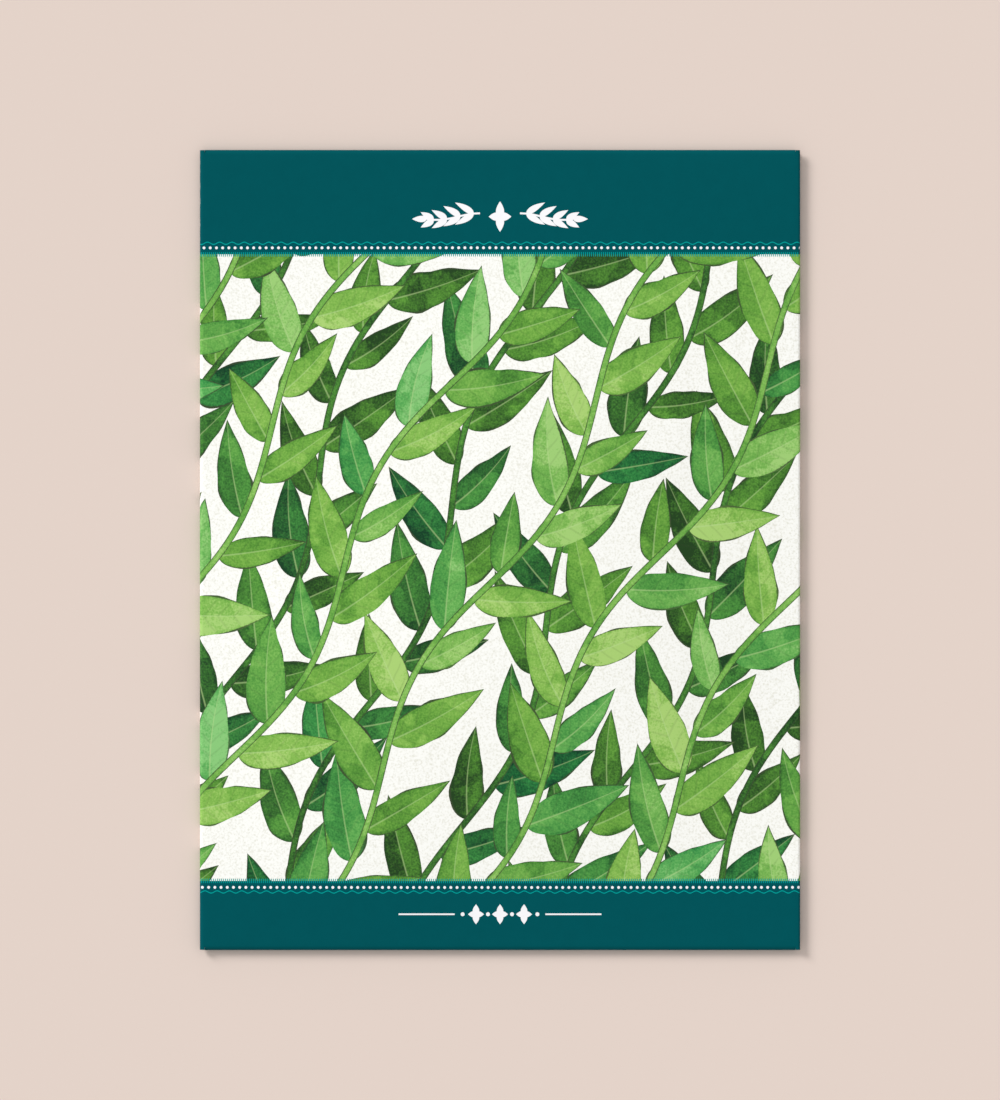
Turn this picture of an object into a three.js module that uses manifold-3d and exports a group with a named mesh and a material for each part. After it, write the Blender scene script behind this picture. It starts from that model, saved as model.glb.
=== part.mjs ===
// A seed packet lying on its back: one sheet of printed paper folded and glued into a flat envelope,
// with a heat-sealed sachet of seeds inside. Millimetres, +Z up through the printed front, +Y towards
// the packet's top edge, origin on the surface it lies on, under the middle of the front.
import * as THREE from "three";
import { mergeVertices } from "three/addons/utils/BufferGeometryUtils.js";
import Module from "manifold-3d";

// Envelope
const PACKET_WIDTH = 90;
const PACKET_HEIGHT = 120;
const PAPER = 0.2;
const FILL_RISE = 2.2; // how far the contents lift the middle of the front above its edges
const FILL_SETTLE = 0.14; // how far the lift's peak sits towards the bottom edge, as a share of half the height
const RISE_POWER = 1.25; // the higher, the narrower the lift
const FOLD_SLACK = 0.36; // gap between front and side tab just inside their fold
const FOLD_STEPS = 6;
const FRONT_COLUMNS = 14;
const FRONT_ROWS = 20;

// Flaps cut in the same sheet
const CORNER_RELIEF = 0.7; // the top flap and bottom tab start this far in from the packet's sides
const CORNER_SLIT = 0.1; // between a flap's end and the side fold beside it
const EDGE_TRIM = 0.05; // the side folds stop this far short of the top and bottom folds
const TOP_FLAP_DEPTH = 22;
const BOTTOM_TAB_DEPTH = 14;
const FLAP_TAPER = 5; // each flap is narrower by this at each end of its free edge
const FLAP_CORNER = 5;
const FLAP_ROWS = 7;
const SIDE_TAB_WIDTH = 12;
const SIDE_TAB_CHAMFER = 6;
const BACK_EDGE_INSET = 0.8; // the back's free edge stops short of the side fold
const BACK_TOP_INSET = 1.6; // the back's mouth lies below the top fold, under the flap

// Glue films between the paper layers
const GLUE = 0.08;
const CLEAR = 0.02;
const FLAP_GLUE_WIDTH = 7;
const TAB_GLUE_WIDTH = 5;
const GLUE_EDGE = 3; // from a flap's free edge to its glue
const GLUE_END_INSET = 6; // the glue stops this far short of a flap's ends

// Sachet: two films sealed to each other round all four sides
const FILM = 0.1;
const SACHET_WIDTH = 62;
const SACHET_HEIGHT = 84;
const SACHET_X = -3;
const SACHET_Y = -7;
const SACHET_LIFT = 0.05; // clear of the envelope's back
const SEAL_GAP = 0.03;
const SEAL_WIDTH = 6;
const POCKET_RISE = 1.9;
const POCKET_POWER = 1.4;
const FILM_COLUMNS = 12;
const FILM_ROWS = 16;

// Seeds: a shallow heap, one seed deep, in the lower half of the sachet
const SEED_LENGTH = 1.8;
const SEED_WIDTH = 1.4;
const SEED_THICKNESS = 1.0;
const SEED_SPACING = 1.05;
const HEAP_LENGTH = 11;
const HEAP_WIDTH = 8;
const HEAP_BELOW_CENTRE = 8;
const SEED_JITTER = 0.12;
const RANDOM_SEED = 7;

// Levels of the layers, from the surface up
const LAYER_STEP = PAPER + GLUE + 2 * CLEAR;
const FLAP_Z = 0;
const BACK_Z = FLAP_Z + LAYER_STEP;
const SIDE_TAB_Z = BACK_Z + LAYER_STEP;
const FRONT_Z = SIDE_TAB_Z + PAPER + FOLD_SLACK; // underside of the front along its edges
const SACHET_Z = BACK_Z + PAPER + SACHET_LIFT;

// A half-round fold joins the front to the layer whose underside is at layerZ.
function fold(layerZ) {
  const inside = (FRONT_Z - layerZ - PAPER) / 2;
  return { inside, outside: inside + PAPER, centreZ: layerZ + PAPER + inside };
}

const LEFT_FOLD = fold(BACK_Z);
const RIGHT_FOLD = fold(SIDE_TAB_Z);
const END_FOLD = fold(FLAP_Z);
const FRONT_LEFT = -PACKET_WIDTH / 2 + LEFT_FOLD.outside;
const FRONT_RIGHT = PACKET_WIDTH / 2 - RIGHT_FOLD.outside;
const FRONT_END = PACKET_HEIGHT / 2 - END_FOLD.outside;
const FLAP_HALF = PACKET_WIDTH / 2 - CORNER_RELIEF;
const SIDE_END = PACKET_HEIGHT / 2 - EDGE_TRIM;

function steps(from, to, count) {
  return Array.from({ length: count + 1 }, (_, i) => from + ((to - from) * i) / count);
}

// How far the contents lift the front at a point: nothing along its four edges.
function frontRise(x, y) {
  const across = (2 * x - FRONT_LEFT - FRONT_RIGHT) / (FRONT_RIGHT - FRONT_LEFT);
  const up = y / FRONT_END;
  const settled = up + FILL_SETTLE * (1 - up * up);
  const room = Math.max(0, 1 - across * across) * Math.max(0, 1 - settled * settled);
  return FILL_RISE * room ** RISE_POWER;
}

// A sheet is a set of patches. A patch is a grid of places, each a pair of points: one on the outer
// face, one on the inner face. Patches that share places are joined there, and every edge that only
// one patch has becomes a cut edge of the sheet's thickness.
function sheetGeometry(patches) {
  const outer = [];
  const inner = [];
  const placeNumbers = new Map();
  const placeNumber = ([outside, inside]) => {
    const key = outside.map((value) => value.toFixed(3)).join();
    if (!placeNumbers.has(key)) {
      placeNumbers.set(key, outer.length);
      outer.push(outside);
      inner.push(inside);
    }
    return placeNumbers.get(key);
  };
  const faces = [];
  for (const patch of patches) {
    const grid = patch.map((row) => row.map(placeNumber));
    for (let row = 0; row + 1 < grid.length; row++) {
      for (let column = 0; column + 1 < grid[row].length; column++) {
        const [a, b] = grid[row].slice(column, column + 2);
        const [d, c] = grid[row + 1].slice(column, column + 2);
        faces.push([a, b, c], [a, c, d]);
      }
    }
  }
  const sides = faces.flatMap(([a, b, c]) => [[a, b], [b, c], [c, a]]);
  const sideNames = new Set(sides.map(String));
  const cutSides = sides.filter(([a, b]) => !sideNames.has(`${b},${a}`));
  const below = outer.length;
  const triangles = [
    ...faces.flat(),
    ...faces.flatMap(([a, b, c]) => [a + below, c + below, b + below]),
    ...cutSides.flatMap(([a, b]) => [b, a, a + below, b, a + below, b + below]),
  ];
  const geometry = new THREE.BufferGeometry();
  const points = [...outer, ...inner].flat();
  geometry.setAttribute("position", new THREE.Float32BufferAttribute(points, 3));
  geometry.setIndex(triangles);
  geometry.computeVertexNormals();
  return geometry;
}

// The envelope's section from the back's free edge, round the left fold, over the front and round the
// right fold to the side tab's free edge. Each station has the two faces' X and Z, and its ends in Y.
function envelopeSection() {
  const sectionStation = (outside, inside, bottom, top) => ({ outside, inside, bottom, top });
  const backTop = FRONT_END - BACK_TOP_INSET;
  const backBottom = -FRONT_END + BACK_EDGE_INSET;
  const back = steps(FRONT_RIGHT - BACK_EDGE_INSET, FRONT_LEFT, 4)
    .map((x) => sectionStation([x, BACK_Z], [x, BACK_Z + PAPER], backBottom, backTop));
  const around = (centreX, { inside, outside, centreZ }, angle, ends) => {
    const at = (radius) => [centreX + radius * Math.sin(angle), centreZ + radius * Math.cos(angle)];
    return sectionStation(at(outside), at(inside), ...ends);
  };
  // A side fold keeps its full length over its upper half, then draws in to the layer under it.
  const foldEnd = (layerEnd, angle) => {
    const under = Math.max(0, (2 * Math.abs(angle)) / Math.PI - 1);
    return THREE.MathUtils.lerp(Math.sign(layerEnd) * SIDE_END, layerEnd, under);
  };
  const left = steps(-Math.PI, 0, FOLD_STEPS).slice(1, -1).map((angle) =>
    around(FRONT_LEFT, LEFT_FOLD, angle, [foldEnd(backBottom, angle), foldEnd(backTop, angle)]),
  );
  const besideSlit = FLAP_HALF + CORNER_SLIT;
  const frontColumns = [
    FRONT_LEFT, -besideSlit, ...steps(-FLAP_HALF, FLAP_HALF, FRONT_COLUMNS), besideSlit, FRONT_RIGHT,
  ];
  const front = frontColumns.map((x) => {
    const end = Math.abs(x) < besideSlit ? FRONT_END : SIDE_END;
    return { ...sectionStation([x, FRONT_Z + PAPER], [x, FRONT_Z], -end, end), rises: true };
  });
  const tabEnd = FRONT_END - BACK_TOP_INSET;
  const right = steps(0, Math.PI, FOLD_STEPS).slice(1, -1).map((angle) =>
    around(FRONT_RIGHT, RIGHT_FOLD, angle, [foldEnd(-tabEnd, angle), foldEnd(tabEnd, angle)]),
  );
  const sideTab = steps(0, 1, 3).map((share) => {
    const x = FRONT_RIGHT - SIDE_TAB_WIDTH * share;
    const end = tabEnd - SIDE_TAB_CHAMFER * share;
    return sectionStation([x, SIDE_TAB_Z], [x, SIDE_TAB_Z + PAPER], -end, end);
  });
  return [...back, ...left, ...front, ...right, ...sideTab];
}

function envelopeWrap() {
  return steps(0, 1, FRONT_ROWS).map((share) =>
    envelopeSection().map(({ outside, inside, bottom, top, rises }) => {
      const y = THREE.MathUtils.lerp(bottom, top, share);
      const rise = rises ? frontRise(outside[0], y) : 0;
      return [outside, inside].map(([x, z]) => [x, y, z + rise]);
    }),
  );
}

// Half the width of a flap at a distance from its fold: it tapers, and its corners are round.
function flapHalfWidth(distance, depth) {
  const straight = FLAP_HALF - FLAP_TAPER * (distance / depth);
  const intoCorner = Math.max(0, distance - (depth - FLAP_CORNER));
  return straight - FLAP_CORNER + Math.sqrt(FLAP_CORNER ** 2 - intoCorner ** 2);
}

// A flap hinged along the front's top edge and folded flat against the back. The bottom tab is the
// same thing turned half round about Z, so end is 1 at the top edge and -1 at the bottom edge.
function endFlap(depth, end) {
  const row = (halfWidth, outside, inside) =>
    steps(-1, 1, FRONT_COLUMNS).map((share) =>
      [outside, inside].map(([y, z]) => [end * share * halfWidth, end * y, z]),
    );
  const { inside, outside, centreZ } = END_FOLD;
  const hinge = steps(0, Math.PI, FOLD_STEPS).map((angle) => {
    const at = (radius) => [FRONT_END + radius * Math.sin(angle), centreZ + radius * Math.cos(angle)];
    return row(FLAP_HALF, at(outside), at(inside));
  });
  const leaf = steps(0, Math.PI / 2, FLAP_ROWS).slice(1).map((angle) => {
    const distance = depth * Math.sin(angle);
    const y = FRONT_END - distance;
    return row(flapHalfWidth(distance, depth), [y, FLAP_Z], [y, FLAP_Z + PAPER]);
  });
  return [...hinge, ...leaf];
}

// A thin strip of glue with round ends, centred on x and y.
function glueStrip(length, width, z) {
  const radius = width / 2;
  const straight = length / 2 - radius;
  const outline = new THREE.Shape();
  outline.absarc(straight, 0, radius, -Math.PI / 2, Math.PI / 2);
  outline.absarc(-straight, 0, radius, Math.PI / 2, (3 * Math.PI) / 2);
  outline.closePath();
  const strip = new THREE.ExtrudeGeometry(outline, { depth: GLUE, bevelEnabled: false, curveSegments: 6 });
  return strip.translate(0, 0, z);
}

// How far the seeds lift the sachet's front film: nothing within the sealed border.
function pocketRise(x, y) {
  const across = x / (SACHET_WIDTH / 2 - SEAL_WIDTH);
  const up = y / (SACHET_HEIGHT / 2 - SEAL_WIDTH);
  const room = Math.max(0, 1 - across * across) * Math.max(0, 1 - up * up);
  return POCKET_RISE * room ** POCKET_POWER;
}

function sachetFilm(z, rise, columns, rows) {
  const patch = steps(-SACHET_HEIGHT / 2, SACHET_HEIGHT / 2, rows).map((y) =>
    steps(-SACHET_WIDTH / 2, SACHET_WIDTH / 2, columns).map((x) => {
      const under = z + rise(x, y);
      return [[x, y, under + FILM], [x, y, under]];
    }),
  );
  return sheetGeometry([patch]);
}

// A repeatable stream of numbers from 0 to 1.
function randomStream(seed) {
  let state = seed;
  return () => {
    state = (state * 16807) % 2147483647;
    return state / 2147483647;
  };
}

// Seeds lie on a jittered honeycomb inside an oval heap, each turned its own way and touching its neighbours.
function seedPlaces() {
  const random = randomStream(RANDOM_SEED);
  const rowStep = SEED_SPACING * Math.sin(Math.PI / 3);
  const rowCount = Math.ceil(HEAP_WIDTH / 2 / rowStep);
  const columnCount = Math.ceil(HEAP_LENGTH / 2 / SEED_SPACING);
  const places = [];
  for (let row = -rowCount; row <= rowCount; row++) {
    for (let column = -columnCount; column <= columnCount; column++) {
      const x = (column + (row % 2 ? 0.5 : 0)) * SEED_SPACING;
      const y = row * rowStep;
      const turn = random() * Math.PI;
      const shift = [random(), random()].map((value) => (value - 0.5) * SEED_JITTER);
      if ((2 * x / HEAP_LENGTH) ** 2 + (2 * y / HEAP_WIDTH) ** 2 < 1) {
        places.push({ x: x + shift[0], y: y + shift[1], turn });
      }
    }
  }
  return places;
}

const wasm = await Module();
wasm.setup();

function solidOf(geometry) {
  const bare = geometry.clone();
  bare.deleteAttribute("normal");
  bare.deleteAttribute("uv");
  const merged = mergeVertices(bare, 1e-4);
  const vertProperties = new Float32Array(merged.attributes.position.array);
  const triVerts = new Uint32Array(merged.index.array);
  return new wasm.Manifold(new wasm.Mesh({ numProp: 3, vertProperties, triVerts }));
}

function geometryOf(solid) {
  const { vertProperties, triVerts } = solid.getMesh();
  const geometry = new THREE.BufferGeometry();
  geometry.setAttribute("position", new THREE.BufferAttribute(vertProperties, 3));
  geometry.setIndex(new THREE.BufferAttribute(triVerts, 1));
  geometry.computeVertexNormals();
  return geometry;
}

function seedHeap() {
  const seed = new THREE.IcosahedronGeometry(1, 0)
    .scale(SEED_LENGTH / 2, SEED_WIDTH / 2, SEED_THICKNESS / 2);
  const solids = seedPlaces().map(({ x, y, turn }) =>
    solidOf(seed.clone().rotateZ(turn).translate(x, y, 0)),
  );
  return geometryOf(solids.reduce((heap, next) => heap.add(next)));
}

const finishes = {
  paper: { color: 0xf6f5ea, roughness: 0.55, metalness: 0 },
  glue: { color: 0xe9e2c8, roughness: 0.35, metalness: 0 },
  film: { color: 0xc9ccd0, roughness: 0.3, metalness: 0.6 },
  seed: { color: 0x8a6a44, roughness: 0.8, metalness: 0 },
};

function piece(name, geometry, finish, place = [0, 0, 0]) {
  const mesh = new THREE.Mesh(geometry, new THREE.MeshStandardMaterial(finishes[finish]));
  mesh.name = name;
  mesh.position.set(...place);
  return mesh;
}

const envelope = piece(
  "envelope",
  sheetGeometry([envelopeWrap(), endFlap(TOP_FLAP_DEPTH, 1), endFlap(BOTTOM_TAB_DEPTH, -1)]),
  "paper",
);

const flapGlueLength = 2 * (FLAP_HALF - FLAP_TAPER - GLUE_END_INSET);
const overFlap = FLAP_Z + PAPER + CLEAR;
const flapGlue = piece(
  "flap_glue",
  glueStrip(flapGlueLength, FLAP_GLUE_WIDTH, overFlap),
  "glue",
  [0, FRONT_END - TOP_FLAP_DEPTH + GLUE_EDGE + FLAP_GLUE_WIDTH / 2, 0],
);
const bottomGlue = piece(
  "bottom_tab_glue",
  glueStrip(flapGlueLength, TAB_GLUE_WIDTH, overFlap),
  "glue",
  [0, -FRONT_END + BOTTOM_TAB_DEPTH - GLUE_EDGE - TAB_GLUE_WIDTH / 2, 0],
);
const sideGlueLength = 2 * (FRONT_END - BACK_TOP_INSET - SIDE_TAB_CHAMFER - GLUE_END_INSET);
const sideGlue = piece(
  "side_seam_glue",
  glueStrip(sideGlueLength, TAB_GLUE_WIDTH, BACK_Z + PAPER + CLEAR).rotateZ(Math.PI / 2),
  "glue",
  [FRONT_RIGHT - SIDE_TAB_WIDTH / 2, 0, 0],
);

const sachet = new THREE.Group();
sachet.position.set(SACHET_X, SACHET_Y, SACHET_Z);
const seedBed = FILM + SEAL_GAP + SEED_THICKNESS / 2;
sachet.add(
  piece("sachet_back_film", sachetFilm(0, () => 0, 1, 1), "film"),
  piece("sachet_front_film", sachetFilm(FILM + SEAL_GAP, pocketRise, FILM_COLUMNS, FILM_ROWS), "film"),
  piece("seeds", seedHeap(), "seed", [0, -HEAP_BELOW_CENTRE, seedBed]),
);

const packet = new THREE.Group();
packet.add(envelope, flapGlue, bottomGlue, sideGlue, sachet);

export default packet;
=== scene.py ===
"""A flat seed packet: one sheet of printed paper, folded and glued round a sealed sachet of seeds.

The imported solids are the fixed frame. Sizes are metres in that frame: +Z comes up through the printed
front, +Y runs to the packet's top edge, and the origin lies under the middle of the front.
"""

import math
import random

import bpy
from bpy.props import FloatProperty, FloatVectorProperty, IntProperty, PointerProperty
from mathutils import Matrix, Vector, noise
from mathutils.geometry import delaunay_2d_cdt


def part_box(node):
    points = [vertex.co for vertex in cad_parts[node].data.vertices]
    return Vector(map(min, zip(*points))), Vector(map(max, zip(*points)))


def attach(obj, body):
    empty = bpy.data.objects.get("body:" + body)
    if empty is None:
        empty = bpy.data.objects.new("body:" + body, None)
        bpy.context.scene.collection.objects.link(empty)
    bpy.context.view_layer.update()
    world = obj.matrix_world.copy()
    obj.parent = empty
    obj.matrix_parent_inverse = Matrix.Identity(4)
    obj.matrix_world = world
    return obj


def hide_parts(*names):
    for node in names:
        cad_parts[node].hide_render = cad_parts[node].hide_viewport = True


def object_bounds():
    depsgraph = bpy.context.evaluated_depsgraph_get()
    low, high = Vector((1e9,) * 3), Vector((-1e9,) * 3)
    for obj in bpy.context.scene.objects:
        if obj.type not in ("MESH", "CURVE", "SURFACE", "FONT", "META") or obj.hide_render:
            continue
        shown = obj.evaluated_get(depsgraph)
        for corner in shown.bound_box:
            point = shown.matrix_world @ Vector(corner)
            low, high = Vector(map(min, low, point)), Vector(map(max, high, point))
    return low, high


bl_info = {
    "name": "Seed packet",
    "version": (1, 0, 0),
    "blender": (4, 5, 0),
    "location": "View3D > Sidebar > Seed Packet",
    "description": "Builds a printed paper seed packet and the sachet of seeds inside it",
    "category": "Object",
}

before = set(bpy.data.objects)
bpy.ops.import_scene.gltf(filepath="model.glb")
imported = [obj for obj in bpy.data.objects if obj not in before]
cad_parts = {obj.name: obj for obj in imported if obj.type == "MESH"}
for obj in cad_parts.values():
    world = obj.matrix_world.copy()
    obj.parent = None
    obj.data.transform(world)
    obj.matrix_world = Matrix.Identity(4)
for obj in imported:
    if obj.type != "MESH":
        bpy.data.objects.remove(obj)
CAD_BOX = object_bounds()
BODY = "root"
MM = 0.001


def srgb(red, green, blue):
    """A colour from its 0 to 255 values on screen."""
    def linear(value):
        level = value / 255
        return level / 12.92 if level <= 0.04045 else ((level + 0.055) / 1.055) ** 2.4
    return linear(red), linear(green), linear(blue)


def length(name, description, millimetres):
    """A size that a user may change."""
    return FloatProperty(
        name=name, description=description, default=millimetres * MM, min=0, unit="LENGTH", precision=5
    )


def share(name, description, default):
    """A plain number that a user may change."""
    return FloatProperty(name=name, description=description, default=default)


def turn(name, description, degrees):
    """An angle that a user may change."""
    return FloatProperty(
        name=name, description=description, default=math.radians(degrees), subtype="ANGLE"
    )


def colour(name, description, *on_screen):
    """A colour that a user may change."""
    return FloatVectorProperty(
        name=name, description=description, default=srgb(*on_screen), size=3, min=0, max=1, subtype="COLOR"
    )


class SheetSizes(bpy.types.PropertyGroup):
    """How the envelope's sheet is cut, folded and filled."""

    paper: length("Paper", "Thickness of the sheet", 0.2)
    glue_gap: length("Glue gap", "Room between two glued layers of paper", 0.12)
    fold_slack: length("Fold slack", "Gap between the front and the side tab inside their fold", 0.36)
    corner_relief: length("Corner relief", "From the packet's sides to the ends of its flaps", 0.7)
    corner_slit: length("Corner slit", "Gap between a flap's end and the side fold beside it", 0.01)
    edge_trim: length("Edge trim", "From the side folds' ends to the top and bottom folds", 0.05)
    flap_depth: length("Flap depth", "From the top fold to the top flap's free edge", 22)
    tab_depth: length("Tab depth", "From the bottom fold to the bottom tab's free edge", 14)
    flap_taper: length("Flap taper", "How much each end of a flap draws in towards its free edge", 5)
    flap_corner: length("Flap corner", "Radius of a flap's corners", 5)
    flap_steps: IntProperty(name="Flap steps", description="Points down a flap's side", default=28, min=4)
    side_tab: length("Side tab", "Width of the tab inside the side seam", 12)
    side_chamfer: length("Side chamfer", "How much each end of the side tab is cut away", 6)
    back_inset: length("Back inset", "From the back's free edge to the side fold", 0.8)
    mouth_inset: length("Mouth inset", "From the top fold to the back's mouth under the flap", 1.6)
    fill_rise: length("Fill rise", "How far the contents lift the middle of the front", 2.2)
    fill_settle: share("Fill settle", "How far the lift's peak sits below the middle", 0.14)
    rise_power: share("Rise power", "The higher, the narrower the lift", 1.25)
    imprint: length("Imprint", "How far the sachet's outline shows through the front", 0.12)
    imprint_edge: length("Imprint edge", "How softly the paper bends over the sachet's outline", 3.5)
    ripple: length("Ripple", "Height of the front's slow waves", 0.07)
    ripple_length: length("Ripple length", "Length of the front's slow waves", 26)
    fold_steps: IntProperty(name="Fold steps", description="Facets round a fold", default=12, min=3)
    front_step: length("Front step", "Spacing of the points on the front", 1.5)
    back_step: length("Back step", "Spacing of the points on the back and flaps", 3)


class PrintSizes(bpy.types.PropertyGroup):
    """Where the inks lie on the sheet."""

    header: length("Header", "Depth of the coloured band at the top", 15.68)
    footer: length("Footer", "Depth of the coloured band at the bottom", 10.4)
    dot_pitch: length("Dot pitch", "Spacing of the border's dots", 0.9311)
    dot_size: length("Dot size", "Diameter of a dot", 0.43)
    dot_inset: length("Dot inset", "From a band's edge to its dots", 0.97)
    dot_start: length("Dot start", "From the packet's left edge to the first top dot", 0.63)
    dot_shift: length("Dot shift", "How far left of the top dots the bottom dots start", 0.24)
    wave_pitch: length("Wave pitch", "Length of one swing of the wave line", 1.841)
    wave_inset: length("Wave inset", "From a band's edge to its wave line", 1.66)
    wave_height: length("Wave height", "How far the wave line swings each way", 0.17)
    wave_line: length("Wave line", "Width of the wave line", 0.15)
    wave_start: length("Wave start", "From the packet's left edge to the top wave's first rise", 0.69)
    wave_shift: length("Wave shift", "How far left of the top wave the bottom wave starts", 0.38)
    tick_pitch: length("Tick pitch", "Spacing of the fringe's ticks", 0.3)
    tick_width: length("Tick width", "Width of a tick", 0.12)
    tick_length: length("Tick length", "Length of a tick, half of it past the band's edge", 0.66)
    tick_start: length("Tick start", "From the packet's left edge to the first tick", 0.225)
    ink: length("Ink", "How far the border's ink stands proud", 0.012)
    vine_gap: length("Vine gap", "Spacing of the printed vines", 20)
    vine_turn: turn("Vine turn", "Slope of the vines across the panel", 60)
    vine_sway: length("Vine sway", "How far a vine swings each way", 3)
    vine_wave: length("Vine wave", "Length of one swing of a vine", 64)
    stem: length("Stem", "Width of a vine's stem", 1.0)
    leaf_step: length("Leaf step", "Spacing of the leaves along a vine", 6.2)
    leaf_length: length("Leaf length", "Length of a full leaf", 15)
    leaf_width: length("Leaf width", "Width of a full leaf", 5.4)
    leaf_turn: turn("Leaf turn", "Angle between a leaf and its stem", 44)
    header_unit: length("Header unit", "Scale of the header's flourish", 1)
    header_place: share("Header place", "How far up the header its flourish stands", 0.36)
    footer_unit: length("Footer unit", "Scale of the footer's flourish", 1)
    footer_place: share("Footer place", "How far down the footer its flourish stands", 0.48)
    back_unit: length("Back unit", "Scale of the leafy flourish on the back", 2.4)
    back_top: length("Back top", "From the middle of the back up to its flourish", 22)
    note_count: IntProperty(name="Note lines", description="Ruled lines on the back", default=5, min=0)
    note_start: length("Note start", "From the back's flourish down to its first line", 16)
    note_gap: length("Note gap", "Spacing of the ruled lines", 10)
    note_length: length("Note length", "Length of a ruled line", 62)
    note_line: length("Note line", "Width of a ruled line", 0.37)


class SachetSizes(bpy.types.PropertyGroup):
    """The sachet inside: two films sealed round their edges, and the seeds between them."""

    film: length("Film", "Thickness of one film", 0.1)
    seal: length("Seal", "Width of the sealed border", 6)
    pocket_rise: length("Pocket rise", "How far the seeds lift the front film", 1.9)
    pocket_power: share("Pocket power", "The higher, the narrower the pocket", 1.4)
    rib_pitch: length("Rib pitch", "Spacing of the seal's ribs", 1.2)
    rib_height: length("Rib height", "How far a rib stands each way", 0.02)
    crumple: length("Crumple", "Height of the crumples over the pocket", 0.05)
    crumple_length: length("Crumple length", "Length of the crumples over the pocket", 7)
    film_step: length("Film step", "Spacing of the film's lines over the pocket", 1.5)
    seed_length: length("Seed length", "Length of a seed", 1.8)
    seed_width: length("Seed width", "Width of a seed", 1.4)
    seed_depth: length("Seed depth", "Thickness of a seed", 0.84)
    seed_spacing: length("Seed spacing", "Least distance between two seeds", 0.68)


class InkColours(bpy.types.PropertyGroup):
    """The colours of the inks and of what is inside."""

    panel: colour("Panel", "Ground of the picture panel", 255, 255, 250)
    hollow: colour("Hollow", "Hollows in the tooth of the panel", 228, 227, 214)
    band: colour("Band", "Header, footer and flaps", 1, 84, 90)
    trim: colour("Trim", "Wave line and fringe", 4, 158, 152)
    white: colour("White", "Dots and ornaments", 251, 250, 252)
    bare: colour("Bare paper", "Inside and cut edges of the sheet", 243, 240, 230)
    outline: colour("Outline", "Drawn line round a leaf", 62, 76, 52)
    midrib: colour("Midrib", "Midrib of a leaf", 190, 220, 150)
    glue: colour("Glue", "Dried glue", 233, 226, 200)
    film: colour("Film", "Sachet film", 205, 208, 212)
    seed: colour("Seed", "Seed coat", 138, 106, 68)


class StudioSetup(bpy.types.PropertyGroup):
    """Camera, floor and lights."""

    frame_height: length("Frame height", "Height of the picture at the packet", 164.9)
    lens: FloatProperty(name="Lens", description="Focal length", default=300, unit="CAMERA")
    floor: colour("Floor", "Plain floor", 228, 211, 201)
    key: share("Key", "Strength of the sun at the upper left", 2.26)
    key_height: turn("Key height", "How high the sun stands", 30)
    key_side: turn("Key side", "Which way the sun stands, anticlockwise from the right", 140)
    key_spread: turn("Key spread", "How wide the sun is, for soft shadows", 22)
    sky: share("Sky", "Even light from all round", 0.64)


class Socket:
    """A value in a node tree. Arithmetic on it adds Math nodes."""

    def __init__(self, graph, socket):
        self.graph = graph
        self.socket = socket

    def math(self, operation, *others):
        return self.graph.math(operation, self, *others)

    def __add__(self, other):
        return self.math("ADD", other)

    def __sub__(self, other):
        return self.math("SUBTRACT", other)

    def __rsub__(self, other):
        return self.graph.math("SUBTRACT", other, self)

    def __mul__(self, other):
        return self.math("MULTIPLY", other)

    def __truediv__(self, other):
        return self.math("DIVIDE", other)

    def __pow__(self, other):
        return self.math("POWER", other)

    def __abs__(self):
        return self.math("ABSOLUTE")

    __radd__ = __add__
    __rmul__ = __mul__


class Graph:
    """A node tree under construction."""

    def __init__(self, tree):
        self.tree = tree

    def node(self, kind, settings=None, values=None, output=0):
        """Adds a node: its settings first, then the values or links of its sockets."""
        made = self.tree.nodes.new(kind)
        for name, value in (settings or {}).items():
            if name == "stops":
                self.set_stops(made.color_ramp, value)
            else:
                setattr(made, name, value)
        for name, value in (values or {}).items():
            self.feed(made.inputs[name], value)
        return Socket(self, made.outputs[output])

    def set_stops(self, ramp, stops):
        while len(ramp.elements) < len(stops):
            ramp.elements.new(1)
        for element, (position, value) in zip(ramp.elements, stops):
            element.position = position
            element.color = (*value, 1)

    def feed(self, target, value):
        for source in value if isinstance(value, list) else [value]:
            if isinstance(source, Socket):
                self.tree.links.new(source.socket, target)
            else:
                target.default_value = source

    def math(self, operation, *values):
        return self.node("ShaderNodeMath", {"operation": operation}, dict(enumerate(values)))

    def combine(self, x, y, z):
        return self.node("ShaderNodeCombineXYZ", None, {"X": x, "Y": y, "Z": z})

    def separate(self, vector):
        found = self.node("ShaderNodeSeparateXYZ", None, {"Vector": vector})
        return [Socket(self, socket) for socket in found.socket.node.outputs]


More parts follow.
